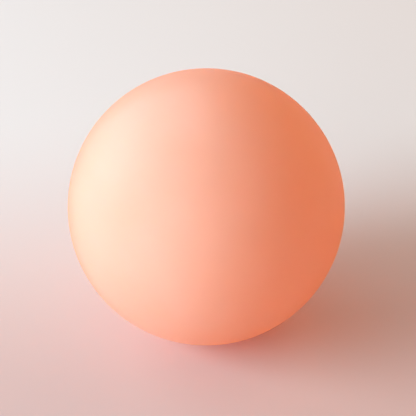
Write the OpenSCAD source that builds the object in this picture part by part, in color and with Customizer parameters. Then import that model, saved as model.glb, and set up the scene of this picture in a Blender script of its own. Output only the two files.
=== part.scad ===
// Table tennis ball: two moulded half shells lapped over an inner lip and cemented into one hollow sphere.
// Units are millimetres. The origin is the centre of the ball and +Z is up, as it lies on a table.

/* [Ball] */
// Outside diameter of the ball
ball_d = 40; // [38:0.1:44]
// Thickness of the moulded wall
wall_t = 0.5; // [0.4:0.05:0.8]

/* [Lap joint] */
// How far the lip of the rear half stands past the joint plane
lip_h = 1.2; // [0.6:0.1:3]
// Thickness of the lip
lip_t = 0.3; // [0.2:0.05:0.6]
// Length of the thick band behind the joint plane that carries the lip
band_h = 1.2; // [0.6:0.1:3]
// Length over which the thick band tapers into the wall
taper_h = 0.6; // [0.3:0.1:1.5]
// Thickness of the cement film between the halves
film_t = 0.05; // [0.03:0.01:0.15]
// Height of the cement bead in the corner past the end of the lip
bead_h = 0.25; // [0.1:0.05:0.6]
// How far the cement bead reaches over the end of the lip
bead_w = 0.15; // [0.05:0.05:0.2]

/* [As it lies] */
// Angle by which the axis through the two halves leans up from level
axis_lean = 34; // [0:1:90]

/* [Hidden] */
$fn = 256;

shell_colour = "#FAA67D";
cement_colour = "#F7C9A6";

// Radii of the concentric spheres, from the outside in
ball_r = ball_d / 2;
wall_inner_r = ball_r - wall_t;
lip_outer_r = wall_inner_r - film_t;
lip_inner_r = lip_outer_r - lip_t;

// Levels along the axis through the halves, measured from the joint plane
front_edge = film_t / 2;
rear_edge = -film_t / 2;
band_end = -band_h;
taper_end = band_end - taper_h;
bead_end = lip_h + bead_h;
past_pole = ball_d;

// The bead is cut from taller stock, and the cut runs on past the stock
bead_stock_end = bead_end + bead_h;
bead_cut_end = bead_stock_end + bead_h;

// Radius of the circle in which a sphere about the centre meets a level
function circle_r(sphere_r, level) = sqrt(sphere_r * sphere_r - level * level);

// The bead's face is a cone: it leaves the end of the lip and runs out into the wall at the bead's end
bead_face_r = circle_r(lip_outer_r, lip_h) - bead_w;
bead_slope = (circle_r(wall_inner_r, bead_end) - bead_face_r) / bead_h;
bead_cut_r = bead_face_r + bead_slope * (bead_cut_end - lip_h);

// The whole ball, turned from standing on the rear half to the way it lies
module as_it_lies() {
    rotate([90 - axis_lean, 0, 0])
        children();
}

// The slice of a solid sphere between two levels
module slice(sphere_r, low, high) {
    intersection() {
        sphere(r = sphere_r);
        translate([0, 0, low])
            cylinder(r = past_pole, h = high - low);
    }
}

// A cone between two levels
module cone_between(low_r, low, high_r, high) {
    translate([0, 0, low])
        cylinder(r1 = low_r, r2 = high_r, h = high - low);
}

// Hollow of the rear half: the wall's inside, then a taper up to the band and the lip
module rear_hollow() {
    slice(wall_inner_r, -past_pole, taper_end);
    cone_between(circle_r(wall_inner_r, taper_end), taper_end, circle_r(lip_inner_r, band_end), band_end);
    slice(lip_inner_r, band_end, past_pole);
}

// Plain half, which slips over the lip
module front_half_shell() {
    color(shell_colour)
        as_it_lies()
            difference() {
                slice(ball_r, front_edge, past_pole);
                sphere(r = wall_inner_r);
            }
}

// Half with the lip on its thickened edge
module rear_half_shell() {
    color(shell_colour)
        as_it_lies()
            difference() {
                union() {
                    slice(ball_r, -past_pole, rear_edge);
                    slice(lip_outer_r, band_end, lip_h);
                }
                rear_hollow();
            }
}

// Cement: a ring between the edges, a film around the lip and a bead past its end
module seam_cement() {
    color(cement_colour)
        as_it_lies()
            difference() {
                union() {
                    slice(ball_r, rear_edge, front_edge);
                    slice(wall_inner_r, rear_edge, bead_stock_end);
                }
                slice(lip_outer_r, band_end, lip_h);
                cone_between(bead_face_r, lip_h, bead_cut_r, bead_cut_end);
            }
}

front_half_shell();
rear_half_shell();
seam_cement();
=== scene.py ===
import math

import bpy
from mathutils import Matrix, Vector


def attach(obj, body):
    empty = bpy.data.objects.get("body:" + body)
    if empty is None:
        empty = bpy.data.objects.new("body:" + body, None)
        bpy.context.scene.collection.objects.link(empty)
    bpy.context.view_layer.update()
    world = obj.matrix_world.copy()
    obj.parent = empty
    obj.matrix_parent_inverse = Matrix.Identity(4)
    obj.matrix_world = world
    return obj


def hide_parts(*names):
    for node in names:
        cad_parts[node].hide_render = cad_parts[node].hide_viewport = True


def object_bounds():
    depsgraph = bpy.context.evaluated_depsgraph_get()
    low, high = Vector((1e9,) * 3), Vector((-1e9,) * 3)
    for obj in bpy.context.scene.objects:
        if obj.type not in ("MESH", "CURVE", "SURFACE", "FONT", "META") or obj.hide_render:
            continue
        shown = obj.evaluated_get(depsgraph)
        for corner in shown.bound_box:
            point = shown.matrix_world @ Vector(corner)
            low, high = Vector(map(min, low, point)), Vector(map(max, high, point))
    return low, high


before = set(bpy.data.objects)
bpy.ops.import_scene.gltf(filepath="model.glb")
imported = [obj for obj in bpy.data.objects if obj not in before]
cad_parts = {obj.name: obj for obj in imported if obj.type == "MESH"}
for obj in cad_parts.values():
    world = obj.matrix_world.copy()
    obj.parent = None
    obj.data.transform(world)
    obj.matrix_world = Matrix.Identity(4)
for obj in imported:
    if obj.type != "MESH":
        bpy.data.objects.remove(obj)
cad_low, cad_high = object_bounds()
scene = bpy.context.scene

# Driving sizes of the ball, in metres
MM = 0.001
BALL_R = (cad_high.x - cad_low.x) / 2
WALL = 0.5 * MM
LIP_H = 1.2 * MM
LIP_T = 0.3 * MM
BAND_H = 1.2 * MM
TAPER_H = 0.6 * MM
FILM = 0.05 * MM
BEAD_H = 0.25 * MM
BEAD_W = 0.15 * MM
AXIS_LEAN = math.radians(34)

# The tumbling breaks the outer edges of the halves, and the cement shrinks below them as it sets
EDGE_BREAK = 0.07 * MM
CEMENT_SUNK = 0.04 * MM


def circle_r(sphere_r, level):
    """Radius of the circle in which a sphere about the centre meets a level along the axis."""
    return math.sqrt(sphere_r**2 - level**2)


WALL_INNER_R = BALL_R - WALL
LIP_OUTER_R = WALL_INNER_R - FILM
BEAD_FOOT = circle_r(LIP_OUTER_R, LIP_H) - BEAD_W

# Named sizes of the sections: radii of spheres about the centre, and levels along the axis through the halves
SIZES = {
    "Ball Radius": BALL_R,
    "Edge Radius": BALL_R - EDGE_BREAK,
    "Cement Radius": BALL_R - CEMENT_SUNK,
    "Wall Inner Radius": WALL_INNER_R,
    "Lip Outer Radius": LIP_OUTER_R,
    "Lip Inner Radius": LIP_OUTER_R - LIP_T,
    "Bead Foot Radius": math.hypot(BEAD_FOOT, LIP_H),
    "Front Pole": BALL_R,
    "Front Inner Pole": WALL_INNER_R,
    "Front Break": FILM / 2 + EDGE_BREAK,
    "Front Edge": FILM / 2,
    "Rear Edge": -FILM / 2,
    "Rear Break": -FILM / 2 - EDGE_BREAK,
    "Rear Inner Pole": -WALL_INNER_R,
    "Rear Pole": -BALL_R,
    "Lip End": LIP_H,
    "Bead End": LIP_H + BEAD_H,
    "Band End": -BAND_H,
    "Taper End": -BAND_H - TAPER_H,
}

# How finely the pieces are meshed
POINTS = {"Points Around": 240, "Points To Pole": 73, "Points On Lip": 7}
MERGE_DISTANCE = 0.001 * MM
SHARP_ANGLE = math.radians(25)

# The camera: a long lens, a quarter of a metre away
CAMERA_ELEVATION = math.radians(34)
CAMERA_LENS_MM = 150
CAMERA_DISTANCE = 250.8 * MM
CAMERA_SHIFT = (0.0042, -0.0028)

# The studio: a cool lamp and a cool panel on the left, a plain lamp beside the camera, a warm one behind
# on the right, and warm light all round. A bright card leans over the ball from the left.
FLOOR_HALF = 1.5
# Painted light on the floor: the front colour is darker and pinker than the back. It is painted shade and a
# painted orange glow from the ball, and it fades out behind the ball.
FLOOR_FRONT_PAINTED_GLOW_AND_SHADE = "#D4B3AE"
FLOOR_BACK = "#E4DADA"
FLOOR_TURNS_FROM = -20 * MM
FLOOR_TURNS_TO = 60 * MM
SURROUND_COLOUR = "#FFE3CF"
SURROUND_LEVEL = 0.34
LAMP_DISTANCE = 0.6
LAMPS = {
    "key": {"towards": (-0.9, -0.28, 0.33), "size": 0.45, "level": 1.96, "colour": "#D4F4FF"},
    "panel": {"towards": (-0.75, 0.55, 0.35), "size": 0.6, "level": 0.5, "colour": "#D3F4FF"},
    "front_fill": {"towards": (-0.55, -0.8, 0.2), "size": 0.6, "level": 0.45, "colour": "#FFFFFF"},
    "back_fill": {"towards": (0.65, 0.7, 0.3), "size": 0.9, "level": 0.75, "colour": "#FFDEBB"},
}
GLOSS_CARD = {"towards": (-1, 0, 1), "size": 1.2, "brightness": 3.2, "colour": "#D3F4FF"}

# Light crosses the wall and the hollow many times before it leaves, so its paths are let run on
PATH_BOUNCES = 24
DIFFUSE_BOUNCES = 12


def linear(hex_colour):
    """The linear colour of an sRGB hex value, with alpha 1."""
    parts = [int(hex_colour[i:i + 2], 16) / 255 for i in (1, 3, 5)]
    return (*(p / 12.92 if p <= 0.04045 else ((p + 0.055) / 1.055) ** 2.4 for p in parts), 1.0)


def add_node(tree, kind, inputs=None, **settings):
    """Adds a node with its settings. An input takes a value, another node's output, or a list of outputs."""
    node = tree.nodes.new(kind)
    for name, value in settings.items():
        setattr(node, name, value)
    for key, value in (inputs or {}).items():
        for source in value if isinstance(value, list) else [value]:
            if isinstance(source, bpy.types.NodeSocket):
                tree.links.new(source, node.inputs[key])
            else:
                node.inputs[key].default_value = source
    return node


def new_material(name):
    """An empty node material."""
    material = bpy.data.materials.new(name)
    material.use_nodes = True
    material.node_tree.nodes.clear()
    return material


# Materials

CLOUD_SIZE = 9 * MM
GRAIN_SIZE = 0.45 * MM
GRAIN_HEIGHT = 0.006 * MM


def tumbled_matte_abs():
    """Moulded ABS, tumbled matte once the halves are cemented.

    The wall is thin and milky. Light that it sends back stays nearly white, and light that comes through it
    turns golden, then red-orange as it crosses the wall again. So the ball is cream towards the lamp and
    glows orange away from it. The matte skin still shows the edge of a bright card, softly. The wall's
    thickness wanders a little, which shows as faint clouds. The real grain is far finer than a pixel, so it
    is drawn about ten times as coarse.
    """
    material = new_material("tumbled_matte_abs")
    tree = material.node_tree
    place = add_node(tree, "ShaderNodeTexCoord").outputs["Object"]
    clouds = add_node(
        tree, "ShaderNodeTexNoise", {"Vector": place, "Scale": 1 / CLOUD_SIZE, "Detail": 3, "Roughness": 0.45}
    )
    grain = add_node(
        tree, "ShaderNodeTexNoise", {"Vector": place, "Scale": 1 / GRAIN_SIZE, "Detail": 2, "Roughness": 0.6}
    )
    sent_back = add_node(
        tree,
        "ShaderNodeMix",
        {"Factor": clouds.outputs["Fac"], "A": linear("#FDFEFE"), "B": linear("#FBFCFA")},
        data_type="RGBA",
    )
    through_share = add_node(
        tree, "ShaderNodeMapRange", {"Value": clouds.outputs["Fac"], "To Min": 0.70, "To Max": 0.74}
    )
    roughness = add_node(
        tree, "ShaderNodeMapRange", {"Value": grain.outputs["Fac"], "To Min": 0.24, "To Max": 0.40}
    )
    bump = add_node(
        tree, "ShaderNodeBump", {"Height": grain.outputs["Fac"], "Strength": 1.0, "Distance": GRAIN_HEIGHT}
    )
    skin = add_node(
        tree,
        "ShaderNodeBsdfPrincipled",
        {
            "Base Color": sent_back.outputs["Result"],
            "Roughness": roughness.outputs["Result"],
            "IOR": 1.53,
            "Sheen Weight": 0.5,
            "Sheen Roughness": 0.5,
            "Normal": bump.outputs["Normal"],
        },
    )
    through = add_node(tree, "ShaderNodeBsdfTranslucent", {"Color": linear("#FDCB26")})
    wall = add_node(
        tree,
        "ShaderNodeMixShader",
        {0: through_share.outputs["Result"], 1: skin.outputs["BSDF"], 2: through.outputs["BSDF"]},
    )
    add_node(tree, "ShaderNodeOutputMaterial", {"Surface": wall.outputs["Shader"]})
    return material


def set_solvent_cement():
    """The same plastic, run soft with solvent and set in the joint.

    It was never tumbled, so it is smoother and glossier than the halves, and a little deeper in colour.
    """
    material = new_material("set_solvent_cement")
    tree = material.node_tree
    place = add_node(tree, "ShaderNodeTexCoord").outputs["Object"]
    ripples = add_node(tree, "ShaderNodeTexNoise", {"Vector": place, "Scale": 1 / GRAIN_SIZE, "Detail": 1})
    sent_back = add_node(
        tree,
        "ShaderNodeMix",
        {"Factor": ripples.outputs["Fac"], "A": linear("#F6DCB4"), "B": linear("#F2D0A4")},
        data_type="RGBA",
    )
    roughness = add_node(
        tree, "ShaderNodeMapRange", {"Value": ripples.outputs["Fac"], "To Min": 0.3, "To Max": 0.45}
    )
    skin = add_node(
        tree,
        "ShaderNodeBsdfPrincipled",
        {"Base Color": sent_back.outputs["Result"], "Roughness": roughness.outputs["Result"], "IOR": 1.53},
    )
    through = add_node(tree, "ShaderNodeBsdfTranslucent", {"Color": linear("#FDCB26")})
    joint = add_node(
        tree, "ShaderNodeMixShader", {0: 0.5, 1: skin.outputs["BSDF"], 2: through.outputs["BSDF"]}
    )
    add_node(tree, "ShaderNodeOutputMaterial", {"Surface": joint.outputs["Shader"]})
    return material


def floor_with_painted_glow():
    """A matte floor that grows paler behind the ball. The darker, pinker front is painted shade and a painted
    orange glow from the ball.
    """
    material = new_material("floor_with_painted_glow")
    tree = material.node_tree
    place = add_node(tree, "ShaderNodeTexCoord").outputs["Object"]
    depth = add_node(tree, "ShaderNodeSeparateXYZ", {"Vector": place}).outputs["Y"]
    turns = add_node(
        tree,
        "ShaderNodeMapRange",
        {"Value": depth, "From Min": FLOOR_TURNS_FROM, "From Max": FLOOR_TURNS_TO},
        interpolation_type="SMOOTHSTEP",
    )
    colour = add_node(
        tree,
        "ShaderNodeMix",
        {"Factor": turns.outputs["Result"], "A": linear(FLOOR_FRONT_PAINTED_GLOW_AND_SHADE), "B": linear(FLOOR_BACK)},
        data_type="RGBA",
    )
    shader = add_node(tree, "ShaderNodeBsdfDiffuse", {"Color": colour.outputs["Result"]})
    add_node(tree, "ShaderNodeOutputMaterial", {"Surface": shader.outputs["BSDF"]})
    return material


# Pieces

# A section is a chain of stretches. Each is a sphere's radius, the levels where it starts and ends, and how
# many points it has. A corner starts and ends at one level. Straight lines join a stretch to the next one.
FRONT_SECTION = (
    ("Wall Inner Radius", "Front Inner Pole", "Front Edge", "Points To Pole"),
    ("Edge Radius", "Front Edge", "Front Edge", "Points On Lip"),
    ("Ball Radius", "Front Break", "Front Pole", "Points To Pole"),
)
REAR_SECTION = (
    ("Ball Radius", "Rear Pole", "Rear Break", "Points To Pole"),
    ("Edge Radius", "Rear Edge", "Rear Edge", "Points On Lip"),
    ("Lip Outer Radius", "Rear Edge", "Lip End", "Points On Lip"),
    ("Lip Inner Radius", "Lip End", "Band End", "Points On Lip"),
    ("Wall Inner Radius", "Taper End", "Rear Inner Pole", "Points To Pole"),
)
CEMENT_SECTION = (
    ("Cement Radius", "Rear Edge", "Front Edge", "Points On Lip"),
    ("Wall Inner Radius", "Front Edge", "Bead End", "Points On Lip"),
    ("Bead Foot Radius", "Lip End", "Lip End", "Points On Lip"),
    ("Lip Outer Radius", "Lip End", "Rear Edge", "Points On Lip"),
)


def turning_tree(name, section, is_ring):
    """A tree that turns a section about the axis through the halves, and its inputs by name."""
    tree = bpy.data.node_groups.new(name, "GeometryNodeTree")
    interface = tree.interface
    interface.new_socket("Geometry", in_out="OUTPUT", socket_type="NodeSocketGeometry")
    kinds = {size: "NodeSocketFloat" for stretch in section for size in stretch[:3]}
    kinds.update({"Ball Radius": "NodeSocketFloat", "Turn": "NodeSocketFloat"})
    kinds.update({count: "NodeSocketInt" for count in POINTS})
    kinds["Material"] = "NodeSocketMaterial"
    inputs = {key: interface.new_socket(key, in_out="INPUT", socket_type=kind) for key, kind in kinds.items()}
    given = add_node(tree, "NodeGroupInput").outputs

    def find(radius, level):
        """The angle at which a sphere meets a level, and the point there in the plane of the section."""
        share = add_node(tree, "ShaderNodeMath", {0: given[level], 1: given[radius]}, operation="DIVIDE")
        angle = add_node(tree, "ShaderNodeMath", {0: share.outputs[0]}, operation="ARCSINE").outputs[0]
        cosine = add_node(tree, "ShaderNodeMath", {0: angle}, operation="COSINE").outputs[0]
        out = add_node(tree, "ShaderNodeMath", {0: cosine, 1: given[radius]}, operation="MULTIPLY").outputs[0]
        point = add_node(tree, "ShaderNodeCombineXYZ", {"X": out, "Y": given[level]}).outputs["Vector"]
        return angle, point

    ends = [(find(radius, start), find(radius, end)) for radius, start, end, points in section]
    curves = []
    for (radius, start, end, points), ((from_angle, _), (to_angle, _)) in zip(section, ends):
        if start != end:
            sweep = add_node(tree, "ShaderNodeMath", {0: to_angle, 1: from_angle}, operation="SUBTRACT")
            arc = add_node(
                tree,
                "GeometryNodeCurveArc",
                {
                    "Resolution": given[points],
                    "Radius": given[radius],
                    "Start Angle": from_angle,
                    "Sweep Angle": sweep.outputs[0],
                },
            )
            curves.append(arc.outputs["Curve"])
    joins = list(zip(ends, ends[1:])) + ([(ends[-1], ends[0])] if is_ring else [])
    for (_, (_, line_from)), ((_, line_to), _) in joins:
        line = add_node(tree, "GeometryNodeCurvePrimitiveLine", {"Start": line_from, "End": line_to})
        curves.append(line.outputs["Curve"])

    # The section's own zero lies on the axis, and the sweep's lies on its circle
    outline = add_node(tree, "GeometryNodeJoinGeometry", {"Geometry": curves})
    inward = add_node(tree, "ShaderNodeMath", {0: given["Ball Radius"], 1: -1.0}, operation="MULTIPLY")
    to_circle = add_node(tree, "ShaderNodeCombineXYZ", {"X": inward.outputs[0]})
    profile = add_node(
        tree,
        "GeometryNodeTransform",
        {"Geometry": outline.outputs["Geometry"], "Translation": to_circle.outputs["Vector"]},
    )
    circle = add_node(
        tree,
        "GeometryNodeCurvePrimitiveCircle",
        {"Resolution": given["Points Around"], "Radius": given["Ball Radius"]},
    )
    swept = add_node(
        tree,
        "GeometryNodeCurveToMesh",
        {"Curve": circle.outputs["Curve"], "Profile Curve": profile.outputs["Geometry"]},
    )
    merged = add_node(
        tree, "GeometryNodeMergeByDistance", {"Geometry": swept.outputs["Mesh"], "Distance": MERGE_DISTANCE}
    )
    turn = add_node(tree, "ShaderNodeCombineXYZ", {"X": given["Turn"]})
    turned = add_node(
        tree,
        "GeometryNodeTransform",
        {"Geometry": merged.outputs["Geometry"], "Rotation": turn.outputs["Vector"]},
    )
    smooth = add_node(
        tree,
        "GeometryNodeSetShadeSmooth",
        {"Geometry": turned.outputs["Geometry"], "Shade Smooth": True},
        domain="FACE",
    )
    bend = add_node(tree, "GeometryNodeInputMeshEdgeAngle").outputs["Unsigned Angle"]
    is_sharp = add_node(tree, "FunctionNodeCompare", {0: bend, 1: SHARP_ANGLE}, operation="GREATER_THAN")
    shaded = add_node(
        tree,
        "GeometryNodeSetShadeSmooth",
        {
            "Geometry": smooth.outputs["Geometry"],
            "Selection": is_sharp.outputs["Result"],
            "Shade Smooth": False,
        },
        domain="EDGE",
    )
    real = add_node(tree, "GeometryNodeRealizeInstances", {"Geometry": shaded.outputs["Geometry"]})
    finished = add_node(
        tree,
        "GeometryNodeSetMaterial",
        {"Geometry": real.outputs["Geometry"], "Material": given["Material"]},
    )
    add_node(tree, "NodeGroupOutput", {"Geometry": finished.outputs["Geometry"]})
    return tree, inputs


def turned_piece(name, section, material, is_ring=False):
    """A plain mesh object, turned from its section and leaned the way the ball lies."""
    tree, inputs = turning_tree(f"turned_{name}", section, is_ring)
    piece = bpy.data.objects.new(name, bpy.data.meshes.new(name))
    scene.collection.objects.link(piece)
    modifier = piece.modifiers.new("turned", "NODES")
    modifier.node_group = tree
    values = {**SIZES, **POINTS, "Turn": -math.pi / 2 - AXIS_LEAN, "Material": material}
    for key, socket in inputs.items():
        modifier[socket.identifier] = values[key]
    evaluated = piece.evaluated_get(bpy.context.evaluated_depsgraph_get())
    mesh = bpy.data.meshes.new_from_object(evaluated)
    piece.modifiers.remove(modifier)
    piece.data = mesh
    return piece


abs_shell = tumbled_matte_abs()
cement = set_solvent_cement()
pieces = (
    (turned_piece("front_half", FRONT_SECTION, abs_shell), "front_half_shell", "shell"),
    (turned_piece("rear_half", REAR_SECTION, abs_shell), "rear_half_shell", "shell"),
    (turned_piece("cement_ring", CEMENT_SECTION, cement, is_ring=True), "seam_cement", "cement"),
)
for piece, node, slot in pieces:
    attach(piece, "root")
    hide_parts(node)

# Studio

floor_mesh = bpy.data.meshes.new("floor")
floor_corners = [(x * FLOOR_HALF, y * FLOOR_HALF, -BALL_R) for x, y in ((-1, -1), (1, -1), (1, 1), (-1, 1))]
floor_mesh.from_pydata(floor_corners, [], [(0, 1, 2, 3)])
floor_mesh.materials.append(floor_with_painted_glow())
floor = bpy.data.objects.new("floor", floor_mesh)
scene.collection.objects.link(floor)

world = bpy.data.worlds.new("soft_surround")
world.use_nodes = True
world.node_tree.nodes.clear()
surround = add_node(
    world.node_tree, "ShaderNodeBackground", {"Color": linear(SURROUND_COLOUR), "Strength": SURROUND_LEVEL}
)
add_node(world.node_tree, "ShaderNodeOutputWorld", {"Surface": surround.outputs["Background"]})
scene.world = world


def look_back(placed, towards, distance):
    """Puts a lamp or camera at a distance from the ball in a direction, and turns it to face the ball."""
    away = Vector(towards).normalized()
    placed.location = away * distance
    placed.rotation_mode = "QUATERNION"
    placed.rotation_quaternion = (-away).to_track_quat("-Z", "Y")
    scene.collection.objects.link(placed)


def area_lamp(name, shape, towards, size, energy, colour):
    """An area lamp at the distance of the lamps, turned to face the ball."""
    lamp = bpy.data.lights.new(name, "AREA")
    lamp.shape = shape
    lamp.size = size
    lamp.energy = energy
    lamp.color = linear(colour)[:3]
    placed = bpy.data.objects.new(name, lamp)
    look_back(placed, towards, LAMP_DISTANCE)
    return placed


def soft_lamp(name, towards, size, level, colour):
    """A round lamp that lights a white sheet at the ball, turned to face it, to the given level.

    The gloss doesn't show it, so no highlight stands on the ball.
    """
    placed = area_lamp(name, "DISK", towards, size, level * (math.pi * LAMP_DISTANCE) ** 2, colour)
    placed.visible_glossy = False


def gloss_card(towards, size, brightness, colour):
    """A square card, so many times as bright as white, that only the gloss shows.

    It is slid back by half its size, so its front edge is level with the ball's centre.
    """
    placed = area_lamp("gloss_card", "SQUARE", towards, size, brightness * math.pi * size**2, colour)
    placed.location.y += size / 2
    placed.visible_diffuse = False
    placed.visible_transmission = False


for lamp_name, lamp_values in LAMPS.items():
    soft_lamp(lamp_name, **lamp_values)
gloss_card(**GLOSS_CARD)
scene.cycles.max_bounces = PATH_BOUNCES
scene.cycles.transmission_bounces = PATH_BOUNCES
scene.cycles.diffuse_bounces = DIFFUSE_BOUNCES

camera_data = bpy.data.cameras.new("camera")
camera_data.lens = CAMERA_LENS_MM
camera_data.shift_x, camera_data.shift_y = CAMERA_SHIFT
camera_data.clip_start = 0.01
camera_data.clip_end = 10
camera = bpy.data.objects.new("camera", camera_data)
look_back(camera, (0, -math.cos(CAMERA_ELEVATION), math.sin(CAMERA_ELEVATION)), CAMERA_DISTANCE)
scene.camera = camera
scene.view_settings.view_transform = "Standard"
